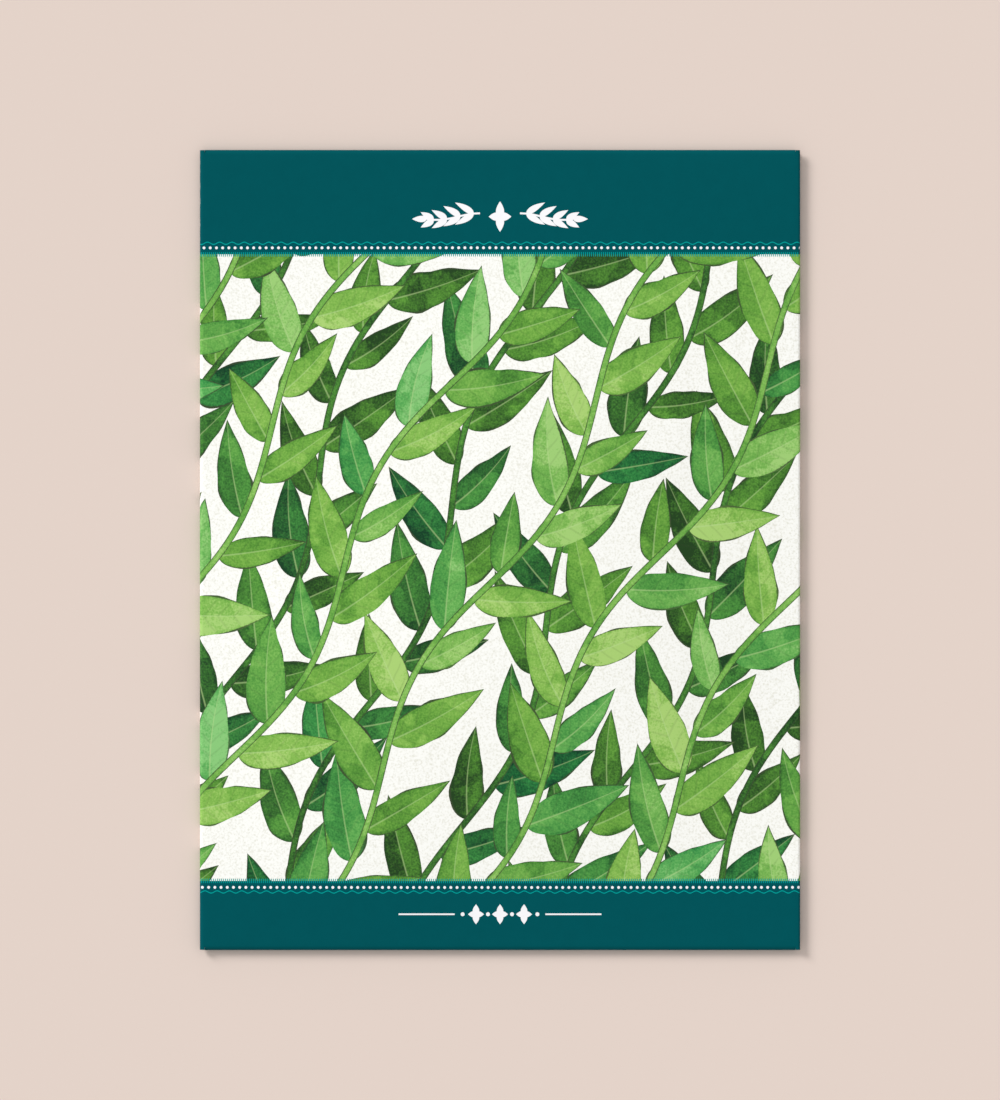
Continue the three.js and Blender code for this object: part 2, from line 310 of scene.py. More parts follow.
class Finish(Graph):
    """A material under construction. Lengths in its patterns are millimetres on the piece."""

    def __init__(self, name, constants):
        self.material = bpy.data.materials.new(name)
        self.material.use_nodes = True
        super().__init__(self.material.node_tree)
        self.shader = self.tree.nodes["Principled BSDF"]
        for socket, value in constants.items():
            self.shader.inputs[socket].default_value = value

    def shows(self, socket, value):
        """Feeds one of the shader's own sockets."""
        self.feed(self.shader.inputs[socket], value)

    def place(self):
        """Where a point is on the piece, in millimetres."""
        at = self.node("ShaderNodeTexCoord", None, None, "Object")
        return self.node("ShaderNodeVectorMath", {"operation": "SCALE"}, {0: at, "Scale": 1 / MM})

    def noise(self, at, per_mm, detail=2.0, variant=0.0):
        """A cloudy value from 0 to 1, with about per_mm clouds to a millimetre."""
        return self.node(
            "ShaderNodeTexNoise",
            {"noise_dimensions": "4D"},
            {"Vector": at, "W": variant, "Scale": per_mm, "Detail": detail},
        )

    def attribute(self, name):
        return self.node("ShaderNodeAttribute", {"attribute_name": name}, None, "Vector")

    def smooth(self, value, low, high):
        """0 below low, 1 above high, and a soft step between."""
        return self.node(
            "ShaderNodeMapRange",
            {"interpolation_type": "SMOOTHSTEP"},
            {"Value": value, "From Min": low, "From Max": high},
        )

    def ramp(self, value, stops):
        return self.node("ShaderNodeValToRGB", {"stops": stops}, {"Fac": value})

    def mix(self, amount, first, second):
        """A colour between two others."""
        first, second = (one if isinstance(one, Socket) else (*one, 1) for one in (first, second))
        return self.node(
            "ShaderNodeMix", {"data_type": "RGBA"}, {0: amount, 6: first, 7: second}, 2
        )

    def bump(self, height, depth):
        """Raises the surface by a height from 0 to 1, times depth."""
        raised = self.node("ShaderNodeBump", None, {"Distance": depth * MM, "Height": height})
        self.shows("Normal", raised)


class Fold:
    """A half-round fold that joins the front to a layer under it."""

    def __init__(self, layer_z, front_z, paper):
        self.inside = (front_z - layer_z - paper) / 2
        self.outside = self.inside + paper
        self.centre = layer_z + self.outside
        self.arc = math.pi * self.outside

    def wrap(self, past):
        """How far out, how high and at what turn a point lies that is this far past the front's edge."""
        angle = min(past / self.outside, math.pi)
        flat = max(0.0, past - self.arc)
        return self.outside * math.sin(angle) - flat, self.centre + self.outside * math.cos(angle), angle


# How worn the print is along a fold, and how much paler still the left fold is made towards its top.
FOLD_WEAR = 0.8
LEFT_TOP_PALENESS = 0.2


class FoldedSheet:
    """Where each point of the flat, printed sheet lies once it is folded.

    On the flat sheet u and v are the front's own X and Y, and run on past its edges, round the folds.
    """

    def __init__(self, sizes):
        self.sizes = sizes
        low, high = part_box("envelope")
        layer = sizes.paper + sizes.glue_gap
        back_z = low.z + layer
        tab_z = back_z + layer
        front_z = tab_z + sizes.paper + sizes.fold_slack
        self.front_top = front_z + sizes.paper
        self.left_fold = Fold(back_z, front_z, sizes.paper)
        self.right_fold = Fold(tab_z, front_z, sizes.paper)
        self.end_fold = Fold(low.z, front_z, sizes.paper)
        self.left = low.x + self.left_fold.outside
        self.right = high.x - self.right_fold.outside
        self.end = high.y - self.end_fold.outside
        self.top = high.y
        self.flap_half = high.x - sizes.corner_relief
        self.slit_side = self.flap_half + sizes.corner_slit
        self.side_end = high.y - sizes.edge_trim
        self.back_top = self.end - sizes.mouth_inset
        self.back_bottom = self.end - sizes.back_inset
        self.back_start = self.left - self.left_fold.arc
        self.tab_start = self.right + self.right_fold.arc
        self.flap_start = self.end + self.end_fold.arc
        self.back_free = self.back_start - (self.right - sizes.back_inset - self.left)
        self.tab_free = self.tab_start + sizes.side_tab
        self.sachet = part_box("sachet_front_film")

    def rise(self, u, v):
        """How far the contents lift the front: nothing along its four edges."""
        sizes = self.sizes
        across = (2 * u - self.left - self.right) / (self.right - self.left)
        up = v / self.end
        settled = up + sizes.fill_settle * (1 - up * up)
        room = max(0.0, 1 - across * across) * max(0.0, 1 - settled * settled)
        low, high = self.sachet
        inset = min(u - low.x, high.x - u, v - low.y, high.y - v)
        over = min(max(inset / sizes.imprint_edge + 0.5, 0.0), 1.0)
        ripple = noise.noise(Vector((u, v, 0)) / sizes.ripple_length)
        return (
            sizes.fill_rise * room ** sizes.rise_power
            + sizes.imprint * over * over * (3 - 2 * over) * math.sqrt(room)
            + sizes.ripple * ripple * room
        )

    def place(self, u, v):
        """The outer face's point and normal, and how worn the print is there."""
        if u < self.left or u > self.right:
            side = -1 if u < self.left else 1
            edge, fold = (self.left, self.left_fold) if side < 0 else (self.right, self.right_fold)
            run, height, angle = fold.wrap(side * (u - edge))
            normal = Vector((side * math.sin(angle), 0, math.cos(angle)))
            # The left fold is made paler still towards its top, besides the wear along every fold.
            towards_top = min(max(v / self.end, 0.0), 1.0) if side < 0 else 0.0
            wear = FOLD_WEAR + LEFT_TOP_PALENESS * towards_top
            return Vector((edge + side * run, v, height)), normal, wear * math.sin(angle)
        if abs(v) > self.end and abs(u) < (self.flap_half + self.slit_side) / 2:
            side = math.copysign(1, v)
            run, height, angle = self.end_fold.wrap(abs(v) - self.end)
            normal = Vector((0, side * math.sin(angle), math.cos(angle)))
            return Vector((u, side * (self.end + run), height)), normal, FOLD_WEAR * math.sin(angle)
        rise = self.rise(u, v)
        nudge = 0.05 * MM
        slope_u = (self.rise(u + nudge, v) - rise) / nudge
        slope_v = (self.rise(u, v + nudge) - rise) / nudge
        normal = Vector((-slope_u, -slope_v, 1)).normalized()
        return Vector((u, v, self.front_top + rise)), normal, 0.0

    def steps(self):
        return [step / self.sizes.fold_steps for step in range(self.sizes.fold_steps + 1)]

    def fold_end(self, layer_end, step):
        """A side fold keeps its length over its upper half, then draws in to the layer under it."""
        return self.side_end + (layer_end - self.side_end) * max(0.0, 2 * step - 1)

    def flap_side(self, depth):
        """One side of a flap: half its width, and how far past the front's end."""
        sizes = self.sizes
        side = [(self.flap_half, self.end + self.end_fold.arc * step) for step in self.steps()]
        for step in range(1, sizes.flap_steps + 1):
            distance = depth * math.sin(step / sizes.flap_steps * math.pi / 2)
            into_corner = max(0.0, distance - (depth - sizes.flap_corner))
            straight = self.flap_half - sizes.flap_taper * distance / depth
            round_off = sizes.flap_corner - math.sqrt(max(0.0, sizes.flap_corner ** 2 - into_corner ** 2))
            side.append((straight - round_off, self.flap_start + distance))
        return side

    def side_steps(self):
        """Each facet's edge on the left fold and on the right one, with how far round the fold it is."""
        left = [(self.left - self.left_fold.arc * step, step) for step in self.steps()]
        right = [(self.right + self.right_fold.arc * step, step) for step in self.steps()]
        return left, right

    def outline(self):
        """The sheet's cut edge, anticlockwise from the front's bottom left corner."""
        sizes = self.sizes
        bottom = self.flap_side(sizes.tab_depth)
        top = self.flap_side(sizes.flap_depth)
        left, right = self.side_steps()
        tab_tip = self.back_top - sizes.side_chamfer
        return [
            (self.left, -self.side_end),
            (-self.slit_side, -self.side_end),
            *[(-half, -past) for half, past in bottom],
            *[(half, -past) for half, past in reversed(bottom)],
            (self.slit_side, -self.side_end),
            *[(u, -self.fold_end(self.back_top, step)) for u, step in right],
            (self.tab_free, -tab_tip),
            (self.tab_free, tab_tip),
            *[(u, self.fold_end(self.back_top, step)) for u, step in reversed(right)],
            (self.slit_side, self.side_end),
            *[(half, past) for half, past in top],
            *[(-half, past) for half, past in reversed(top)],
            (-self.slit_side, self.side_end),
            *[(u, self.fold_end(self.back_top, step)) for u, step in left],
            (self.back_free, self.back_top),
            (self.back_free, -self.back_bottom),
            *[(u, -self.fold_end(self.back_bottom, step)) for u, step in reversed(left[1:])],
        ]

    def creases(self):
        """Lines along the folds, one for each facet's edge."""
        left, right = self.side_steps()
        lines = []
        for u, step in left:
            bottom = self.fold_end(self.back_bottom, step)
            lines.append([(u, -bottom), (u, self.fold_end(self.back_top, step))])
        for u, step in right:
            end = self.fold_end(self.back_top, step)
            lines.append([(u, -end), (u, end)])
        for step in self.steps():
            v = self.end + self.end_fold.arc * step
            lines.append([(-self.flap_half, v), (self.flap_half, v)])
            lines.append([(-self.flap_half, -v), (self.flap_half, -v)])
        return lines

    def inner_points(self):
        """Points spread over the front, the back and the flaps, to carry their shape."""
        sizes = self.sizes
        half = self.flap_half
        flap_free = self.flap_start + sizes.flap_depth
        tab_free = self.flap_start + sizes.tab_depth
        patches = [
            (self.left, self.right, -self.end, self.end, sizes.front_step),
            (self.back_free, self.back_start, -self.end, self.back_top, sizes.back_step),
            (self.tab_start, self.tab_free, -self.back_top, self.back_top, sizes.back_step),
            (-half, half, self.flap_start, flap_free, sizes.back_step),
            (-half, half, -tab_free, -self.flap_start, sizes.back_step),
        ]
        return [point for patch in patches for point in lattice(*patch)]


def lattice(left, right, bottom, top, step):
    """Staggered rows of points inside a rectangle, clear of its edges."""
    row_step = step * math.sin(math.pi / 3)
    row_starts = 0.9, 0.5
    clearance = step / 3
    points = []
    for row in range(int((top - bottom) / row_step)):
        v = bottom + (row + 0.5) * row_step
        start = row_starts[row % 2]
        points += [(left + (column + start) * step, v) for column in range(int((right - left) / step))]
    return [(u, v) for u, v in points if u < right - clearance and v < top - clearance]


def divided(line, step, closed=False):
    """The points of a line, with more between them so that none are further apart than step."""
    ends = line[1:] + line[:1] if closed else line[1:]
    points = []
    for (u, v), (next_u, next_v) in zip(line, ends):
        count = max(1, math.ceil(math.hypot(next_u - u, next_v - v) / step))
        points += [(u + (next_u - u) * i / count, v + (next_v - v) * i / count) for i in range(count)]
    return points if closed else points + line[-1:]


def directions(heading):
    """The directions along and across a heading."""
    axis = Vector((math.cos(heading), math.sin(heading)))
    return axis, Vector((-axis.y, axis.x))


# A leaf's half-width along its length is a power curve, rounder at its base and pointed at its tip.
LEAF_BASE = 0.55
LEAF_TIP = 1.05
WIDEST = LEAF_BASE / (LEAF_BASE + LEAF_TIP)
LEAF_SCALE = 1 / (WIDEST ** LEAF_BASE * (1 - WIDEST) ** LEAF_TIP)


def leaf_profile(along):
    """A leaf's half-width at a share of its length, 1 at its widest."""
    return LEAF_SCALE * along ** LEAF_BASE * (1 - along) ** LEAF_TIP


class Painted:
    """A shape in the print: its ink, how it is shaded, and the area of the sheet that it keeps to."""

    veined = 0.0
    area = None

    def __init__(self, ink, half_width, tone=0.5, cool=0.0):
        self.ink = ink
        self.half_width = half_width
        self.tone = tone
        self.cool = cool

    def inner_points(self):
        return []


class PaintedLeaf(Painted):
    """A leaf on a bent midrib."""

    veined = 1.0
    side_points = 26
    edge_waves = 5.0
    edge_waver = 0.16

    def __init__(self, base, heading, reach, bend, *paint):
        super().__init__(*paint)
        self.base = Vector(base)
        self.axis, self.across = directions(heading)
        self.reach = reach
        self.bend = bend
        self.waver = self.edge_waver if self.ink == LEAF else 0.0

    def point(self, along, side):
        half_width = self.half_width * leaf_profile(along) * (1 + self.waver * self.wobble(along, side))
        aside = self.bend * self.reach * along ** 2 + side * half_width
        return self.base + self.axis * (along * self.reach) + self.across * aside

    def wobble(self, along, side):
        """How unsteadily the edge is drawn, from -1 to 1."""
        return noise.noise(Vector((along * self.edge_waves, side * self.edge_waves, self.base.length / MM)))

    def outline(self):
        turns = [math.pi * step / self.side_points for step in range(self.side_points + 1)]
        alongs = [(1 - math.cos(angle)) / 2 for angle in turns]
        right = [self.point(along, -1) for along in alongs]
        left = [self.point(along, 1) for along in reversed(alongs[1:-1])]
        return [tuple(point) for point in right + left]

    def at(self, u, v):
        """A point's share of the leaf's length, and its side: 1 or -1 at the leaf's widest edges."""
        away = Vector((u, v)) - self.base
        along = min(max(away.dot(self.axis) / self.reach, 0.0), 1.0)
        return along, (away.dot(self.across) - self.bend * self.reach * along ** 2) / self.half_width


class PaintedStem(Painted):
    """A short length of stem, from the middle of one end to the middle of the other."""

    def __init__(self, corners, start, stop, *paint):
        super().__init__(*paint)
        self.corners = corners
        self.start = Vector(start)
        self.across = (Vector(stop) - self.start).orthogonal().normalized()

    def outline(self):
        return [tuple(corner) for corner in self.corners]

    def at(self, u, v):
        return WIDEST, (Vector((u, v)) - self.start).dot(self.across) / self.half_width


class PaintedBud(Painted):
    """A round bud."""

    edge_points = 14

    def __init__(self, centre, *paint):
        super().__init__(*paint)
        self.centre = Vector(centre)

    def outline(self):
        turns = [2 * math.pi * step / self.edge_points for step in range(self.edge_points)]
        x, y = self.centre
        radius = self.half_width
        return [(x + radius * math.cos(angle), y + radius * math.sin(angle)) for angle in turns]

    def inner_points(self):
        return [tuple(self.centre)]

    def at(self, u, v):
        return WIDEST, (Vector((u, v)) - self.centre).length / self.half_width


def painted_stems(path, *paint):
    """A stem along a path, in short lengths that share their ends."""
    half_width = paint[1]
    points = [Vector(point) for point in path]
    sides = []
    for before, after in zip([points[0], *points[:-1]], [*points[1:], points[-1]]):
        sides.append((after - before).orthogonal().normalized() * half_width)
    stems = []
    for start, stop, first, last in zip(points, points[1:], sides, sides[1:]):
        corners = [start + first, start - first, stop - last, stop + last]
        stems.append(PaintedStem(corners, start, stop, *paint))
    return stems


# Slots of the envelope's inks, in the order of its materials.
PANEL, BAND, LEAF, WHITE, BARE = range(5)

# How much a vine's leaves vary, each as a share: in place, size, swing, bend, breadth and coolness.
LEAF_SHIFT = -0.15, 0.15
LEAF_SIZE = 0.82, 1.12
LEAF_SWING = 0.8, 1.2
LEAF_BEND = 0.02, 0.2
LEAF_BREADTH = 0.9, 1.1
LEAF_COOLNESS = -0.7, 0.9
STEM_COOLNESS = 0.2
STEM_LENGTHS = 4
# The vines' layers, dark ones first: how far each leans and shifts, and the tones of its leaves.
VINE_LAYERS = [(1.12, 0.5, (0.0, 0.4)), (1.0, 0.0, (0.42, 1.0))]
PICTURE_SEED = 11


def trailing_vine(sizes, draw, start, heading, reach, tones):
    """A swaying stem with leaves on alternate sides. Leaves come first, so that the stem lies over them."""
    axis, across = directions(heading)
    phase = draw.uniform(0, 2 * math.pi)
    pace = 2 * math.pi / sizes.vine_wave

    def along(run):
        return start + axis * run + across * sizes.vine_sway * math.sin(pace * run + phase)

    def heading_at(run):
        return heading + math.atan(sizes.vine_sway * pace * math.cos(pace * run + phase))

    leaves = []
    for number in range(int(reach / sizes.leaf_step)):
        side = 1 if number % 2 else -1
        run = (number + draw.uniform(*LEAF_SHIFT)) * sizes.leaf_step
        size = draw.uniform(*LEAF_SIZE)
        swing = sizes.leaf_turn * draw.uniform(*LEAF_SWING)
        bend = -side * draw.uniform(*LEAF_BEND)
        half_width = sizes.leaf_width / 2 * size * draw.uniform(*LEAF_BREADTH)
        tone = draw.uniform(*tones)
        cool = max(0.0, draw.uniform(*LEAF_COOLNESS))
        leaves.append(PaintedLeaf(
            along(run), heading_at(run) + side * swing, sizes.leaf_length * size, bend,
            LEAF, half_width, tone, cool,
        ))
    path_step = sizes.leaf_step / STEM_LENGTHS
    path = [along(step * path_step) for step in range(int(reach / path_step) + 1)]
    return leaves + painted_stems(path, LEAF, sizes.stem / 2, sum(tones) / 2, STEM_COOLNESS)


def leafy_picture(sizes, panel):
    """Vines that trail across the panel on a slope, in layers."""
    draw = random.Random(PICTURE_SEED)
    low, high = panel
    middle = (low + high) / 2
    reach = (high - low).length + 2 * sizes.leaf_length
    shapes = []
    for lean, shift, tones in VINE_LAYERS:
        heading = sizes.vine_turn * lean
        axis, across = directions(heading)
        count = math.ceil(reach / 2 / sizes.vine_gap)
        for number in range(-count, count + 1):
            start = middle - axis * reach / 2 + across * (number + shift) * sizes.vine_gap
            shapes += trailing_vine(sizes, draw, start, heading, reach, tones)
    return shapes


def touches(outline, low, high):
    """Whether an outline's box meets a rectangle."""
    us, vs = zip(*outline)
    return max(us) > low.x and min(us) < high.x and max(vs) > low.y and min(vs) < high.y


def kept_to(area, shapes):
    """The shapes that show in an area of the sheet, each told to keep to it."""
    kept = [shape for shape in shapes if touches(shape.outline(), *area)]
    for shape in kept:
        shape.area = area
    return kept


# A leafy flourish, in shares of its unit: its petals, its arms' run and how long the leaves on them are.
PETALS = (1.7, 2.3)
PETAL_HALF = 0.62
ARM_RUN = range(3, 12)
ARM_SWAY = 0.5
ARM_HALF = 0.14
ARM_LEAVES = {1: 3.2, 3: 2.9, 5: 2.6, 7: 2.2}
ARM_LEAF_HALF = 0.48
ARM_LEAF_TURN = math.radians(38)
ARM_LEAF_BEND = 0.12
ARM_TIP = 2.2


def leaf_flourish(centre, unit, ink, *shading):
    """Four petals, and a leafy arm to each side."""
    shapes = []
    for quarter in range(4):
        heading = quarter * math.pi / 2
        reach = PETALS[quarter % 2] * unit
        shapes.append(PaintedLeaf(centre, heading, reach, 0, ink, PETAL_HALF * unit, *shading))
    for side in (-1, 1):
        facing = 0 if side > 0 else math.pi
        path = [
            centre + Vector((side * run, ARM_SWAY * math.sin(run / 2))) * unit for run in ARM_RUN
        ]
        shapes += painted_stems(path, ink, ARM_HALF * unit, *shading)
        for place, reach in ARM_LEAVES.items():
            for lift in (-side, side):
                shapes.append(PaintedLeaf(
                    path[place], facing + lift * ARM_LEAF_TURN, reach * unit, -lift * ARM_LEAF_BEND,
                    ink, ARM_LEAF_HALF * unit, *shading,
                ))
        shapes.append(PaintedLeaf(
            path[-1], facing, ARM_TIP * unit, 0, ink, ARM_LEAF_HALF * unit, *shading
        ))
    return shapes


# A lined flourish, in shares of its unit: its groups of petals, the buds by them and the lines beside these.
GROUP_GAP = 3.6
LEVEL_PETAL = 1.2, 0.45
UPRIGHT_PETAL = 1.5, 0.5
BUD_PLACES = 1.8, 5.6
BUD_HALF = 0.3
LINE_RUN = 6.8, 11, 15.2
LINE_HALF = 0.12


def lined_flourish(centre, unit, ink):
    """A row of petals and buds, and a fine line to each side."""
    shapes = []
    for group in range(-1, 2):
        middle = centre + Vector((group * GROUP_GAP * unit, 0))
        for quarter in range(-1, 3):
            heading = quarter * math.pi / 2
            reach, half_width = UPRIGHT_PETAL if quarter % 2 else LEVEL_PETAL
            shapes.append(PaintedLeaf(middle, heading, reach * unit, 0, ink, half_width * unit))
    for side in (-1, 1):
        for place in BUD_PLACES:
            shapes.append(PaintedBud(centre + Vector((side * place * unit, 0)), ink, BUD_HALF * unit))
        path = [centre + Vector((side * run * unit, 0)) for run in LINE_RUN]
        shapes += painted_stems(path, ink, LINE_HALF * unit)
    return shapes


def note_lines(sizes, centre):
    """Ruled lines on the back, for notes."""
    shapes = []
    for number in range(sizes.note_count):
        middle = centre - Vector((0, number * sizes.note_gap))
        half = Vector((sizes.note_length / 2, 0))
        shapes += painted_stems([middle - half, middle + half], BAND, sizes.note_line / 2)
    return shapes


def flat_plan(sheet, lines, shapes):
    """Cuts the flat sheet into triangles along its creases, its printed lines and its shapes' outlines.

    Returns the points, the triangles, and for each triangle the shapes that hold it.
    """
    step = sheet.sizes.back_step
    points = []
    edges = []
    faces = []

    def numbered(places):
        first = len(points)
        points.extend(Vector(place) for place in places)
        return list(range(first, len(points)))

    faces.append(numbered(divided(sheet.outline(), step, closed=True)))
    for line in [*sheet.creases(), *lines]:
        numbers = numbered(divided(line, step))
        edges += list(zip(numbers, numbers[1:]))
    for shape in shapes:
        faces.append(numbered(shape.outline()))
        numbered(shape.inner_points())
    numbered(sheet.inner_points())
    all_triangles = 0
    nearness = 1e-4 * MM
    tell_holders = True
    found = delaunay_2d_cdt(points, edges, faces, all_triangles, nearness, tell_holders)
    places, triangles, holders = found[0], found[2], found[5]
    kept = [number for number, holder in enumerate(holders) if 0 in holder]
    return (
        places,
        [triangles[number] for number in kept],
        [[shapes[face - 1] for face in sorted(holders[number]) if face > 0] for number in kept],
    )


# Rectangles on the envelope's map, each by its low and its high corner. The front is the largest, the back
# and the flaps stand beside it, and what lies inside the packet is small.
FRONT_MAP = (0.01, 0.01), (0.743, 0.99)
BACK_MAP = (0.755, 0.01), (0.99, 0.65)
FLAP_MAP = (0.755, 0.66), (0.99, 0.76)
TAB_MAP = (0.755, 0.77), (0.99, 0.835)
SIDE_TAB_MAP = (0.755, 0.845), (0.8, 0.99)
BARE_MAP = (0.81, 0.845), (0.99, 0.99)


def within(place, low, high):
    """Whether a place on the sheet lies inside a rectangle."""
    return low[0] < place[0] < high[0] and low[1] < place[1] < high[1]


class EnvelopeMesh:
    """Folds the flat plan and gives it the paper's thickness, its inks and its map."""

    def __init__(self, sheet, footer_edge, header_edge):
        self.sheet = sheet
        self.footer_edge = footer_edge
        self.header_edge = header_edge

    def ink_of(self, middle, holders):
        """The slot of the ink on top at a triangle, and the shape that it belongs to, if any."""
        for shape in reversed(holders):
            if within(middle, *shape.area):
                return shape.ink, shape
        return (PANEL if self.footer_edge < middle.y < self.header_edge else BAND), None

    def map_parts(self):
        """The parts of the print, each with its rectangle on the map, and last the whole bare side."""
        sheet = self.sheet
        half = sheet.flap_half
        flap_end = sheet.flap_start + sheet.sizes.flap_depth
        tab_end = -sheet.flap_start - sheet.sizes.tab_depth
        return [
            ((sheet.back_free, -sheet.end), (sheet.back_start, sheet.end), BACK_MAP),
            ((sheet.tab_start, -sheet.end), (sheet.tab_free, sheet.end), SIDE_TAB_MAP),
            ((-half, sheet.flap_start), (half, flap_end), FLAP_MAP),
            ((-half, tab_end), (half, -sheet.flap_start), TAB_MAP),
            ((sheet.back_start, -sheet.flap_start), (sheet.tab_start, sheet.flap_start), FRONT_MAP),
            ((sheet.back_free, tab_end), (sheet.tab_free, flap_end), BARE_MAP),
        ]

    def build(self, places, triangles, holders):
        used = sorted({corner for triangle in triangles for corner in triangle})
        renumbered = {corner: number for number, corner in enumerate(used)}
        flat = [places[corner] for corner in used]
        faces = [[renumbered[corner] for corner in triangle] for triangle in triangles]
        folded = [self.sheet.place(place.x, place.y) for place in flat]
        outer = [point for point, _, _ in folded]
        inner = [point - normal * self.sheet.sizes.paper for point, normal, _ in folded]
        below = len(outer)
        sides = {(a, b) for face in faces for a, b in zip(face, face[1:] + face[:1])}
        cut = sorted((a, b) for a, b in sides if (b, a) not in sides)
        under = [[corner + below for corner in reversed(face)] for face in faces]
        rim = [[b, a, a + below, b + below] for a, b in cut]
        mesh = bpy.data.meshes.new("paper_envelope")
        mesh.from_pydata(outer + inner, [], faces + under + rim)
        mesh.polygons.foreach_set("use_smooth", [True] * len(mesh.polygons))
        sharp = {frozenset(pair) for a, b in cut for pair in ((a, b), (a + below, b + below))}
        for edge in mesh.edges:
            edge.use_edge_sharp = frozenset(edge.vertices) in sharp
        wear = mesh.attributes.new("fold_wear", "FLOAT", "POINT")
        wear.data.foreach_set("value", [bend for _, _, bend in folded] * 2)
        self.lay_inks(mesh, flat, faces, holders)
        self.ink_corners(mesh, flat, cut, len(faces + under))
        self.lay_map(mesh, flat)
        return mesh

    def lay_inks(self, mesh, flat, faces, holders):
        """Sets each face's ink, and on leaves where each corner lies on its leaf."""
        inks = [BARE] * len(mesh.polygons)
        corner_places = [0.0] * (3 * len(mesh.loops))
        corner_forms = [0.0] * (3 * len(mesh.loops))
        for number, (face, held) in enumerate(zip(faces, holders)):
            middle = sum((flat[corner] for corner in face), Vector((0, 0))) / len(face)
            inks[number], shape = self.ink_of(middle, held)
            if inks[number] != LEAF:
                continue
            for loop, corner in zip(mesh.polygons[number].loop_indices, face):
                along, side = shape.at(*flat[corner])
                corner_places[3 * loop:3 * loop + 3] = along, side, shape.tone
                corner_forms[3 * loop:3 * loop + 3] = shape.half_width / MM, shape.cool, shape.veined
        mesh.polygons.foreach_set("material_index", inks)
        for name, values in [("leaf_place", corner_places), ("leaf_form", corner_forms)]:
            mesh.attributes.new(name, "FLOAT_VECTOR", "CORNER").data.foreach_set("vector", values)

    def ink_corners(self, mesh, flat, cut, first):
        """Lets the bands' ink reach over the cut edges that meet at the packet's corners."""
        sheet = self.sheet
        nearly = 0.99
        for number, edge in enumerate(cut, first):
            ends = [flat[corner] for corner in edge]
            along_fold = all(sheet.end * nearly < abs(end.y) < sheet.flap_start / nearly for end in ends)
            if along_fold and all(abs(end.x) > sheet.flap_half * nearly for end in ends):
                mesh.polygons[number].material_index = BAND

    def lay_map(self, mesh, flat):
        """Gives each face its place on the map, by the part of the sheet that it lies on."""
        *printed, bare = self.map_parts()
        corner_map = [0.0] * (2 * len(mesh.loops))
        for polygon in mesh.polygons:
            places = [flat[corner % len(flat)] for corner in polygon.vertices]
            part = bare
            if polygon.material_index != BARE:
                middle = sum(places, Vector((0, 0))) / len(places)
                part = next(each for each in printed if within(middle, *each[:2]))
            for loop, place in zip(polygon.loop_indices, places):
                for axis, (low, high, map_low, map_high) in enumerate(zip(*part[:2], *part[2])):
                    share_along = (place[axis] - low) / (high - low)
                    corner_map[2 * loop + axis] = map_low + share_along * (map_high - map_low)
        mesh.uv_layers.new(name="OFBake").uv.foreach_set("vector", corner_map)


# Greens of the leaf wash, from its deepest pools to its thinnest: yellowish ones and bluish ones.
WARM_GREENS = [
    (0.0, srgb(40, 70, 36)),
    (0.2, srgb(64, 110, 46)),
    (0.42, srgb(90, 148, 58)),
    (0.62, srgb(116, 172, 72)),
    (0.82, srgb(140, 190, 88)),
    (1.0, srgb(172, 210, 118)),
]
COOL_GREENS = [
    (0.0, srgb(18, 62, 44)),
    (0.25, srgb(30, 104, 58)),
    (0.5, srgb(52, 144, 76)),
    (0.75, srgb(88, 172, 92)),
    (1.0, srgb(132, 200, 124)),
]
PAPER_SHINE = {"Roughness": 0.7, "Specular IOR Level": 0.02}


# How strongly each layer of the leaf wash shows.
TONE_SHARE = 0.9
TONE_SHIFT = 0.04
FLOW_SHARE = 0.5
GLAZE_SHARE = 0.15
FAR_HALF_SHARE = 0.13
SETTLED_SHARE = 0.12
GRAIN_SHARE = 0.7
TOOTH_SHARE = 0.3
VEIN_SHARE = 0.14
MIDRIB_SHARE = 0.4
LINE_SHARE = 0.45
LINE_FLOW = 0.8
# A leaf's side veins: how many, how far they lean towards its tip, and how far they waver.
VEIN_COUNT = 7
VEIN_LEAN = 1.1
VEIN_WAVER = 0.6
# How far apart in the noise the leaves' tones lie, so that one leaf's pattern isn't the next one's.
FLOW_SPREAD = 40
COAT_SPREAD = 25
# How ragged the edges of the wash are along the midrib and the outline, in millimetres.
MIDRIB_RAG = 0.4
LINE_RAG = 0.2
WORN_SHARE = 0.55
NOISE_MIDDLE = 0.5


def shaded(tone, by):
    """A colour made darker, or lighter as far as white."""
    return [min(1.0, part * by) for part in tone]


def paper_tooth(finish, at, depth):
    """The paper's fine tooth, as a bump, and its height from 0 to 1."""
    tooth = finish.noise(at, per_mm=2.4, detail=3.0)
    finish.bump(tooth, depth)
    return tooth


def worn(finish, at, inked, paper):
    """Lets bare paper show through an ink along the folds."""
    wear = finish.node("ShaderNodeAttribute", {"attribute_name": "fold_wear"}, None, "Fac")
    scuff = finish.noise(at, per_mm=1.2, detail=5.0)
    bared = finish.smooth(wear + scuff - NOISE_MIDDLE, low=0.86, high=1.2)
    return finish.mix(bared * WORN_SHARE, inked, paper)


def panel_paper(colours):
    """Off-white ground with the fine, shaded tooth of a painter's sheet."""
    finish = Finish("panel_paper", PAPER_SHINE)
    at = finish.place()
    tooth = finish.smooth(paper_tooth(finish, at, depth=0.012), low=0.5, high=0.8)
    grain = finish.smooth(finish.noise(at, per_mm=3.4, variant=2.0), low=0.42, high=0.74)
    cloud = finish.smooth(finish.noise(at, per_mm=0.12), low=0.45, high=0.75)
    grain_share, tooth_share, cloud_share = 0.75, 0.2, 0.05
    amount = grain * grain_share + tooth * tooth_share + cloud * cloud_share
    finish.shows("Base Color", finish.mix(amount, colours.panel, colours.hollow))
    return finish.material


